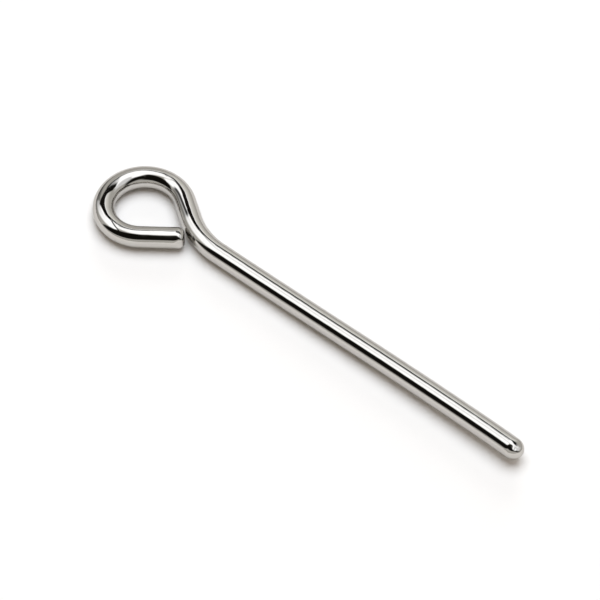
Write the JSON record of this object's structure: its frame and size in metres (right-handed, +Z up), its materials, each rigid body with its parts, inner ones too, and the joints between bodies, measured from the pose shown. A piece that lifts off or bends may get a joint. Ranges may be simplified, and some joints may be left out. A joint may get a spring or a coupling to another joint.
{
  "type": "eye pin",
  "caption": "Straight pin of round wire with a rounded nose and an open bent eye at the other end, to lock a shaft or clevis through a cross hole and be pulled out by its eye.",
  "frame": {"origin": "on the shank's axis at its root, where the neck's bend begins", "axes": "+X along the shank to the nose, +Z up, square to the plane of the bends; the eye is on the -X side"},
  "size_m": [0.0765, 0.0146, 0.0032],
  "materials": {
    "wire": "bright nickel plate, polished, with faint drawing marks along the wire"
  },
  "bodies": {
    "root": {"pin": "wire"}
  },
  "joints": []
}
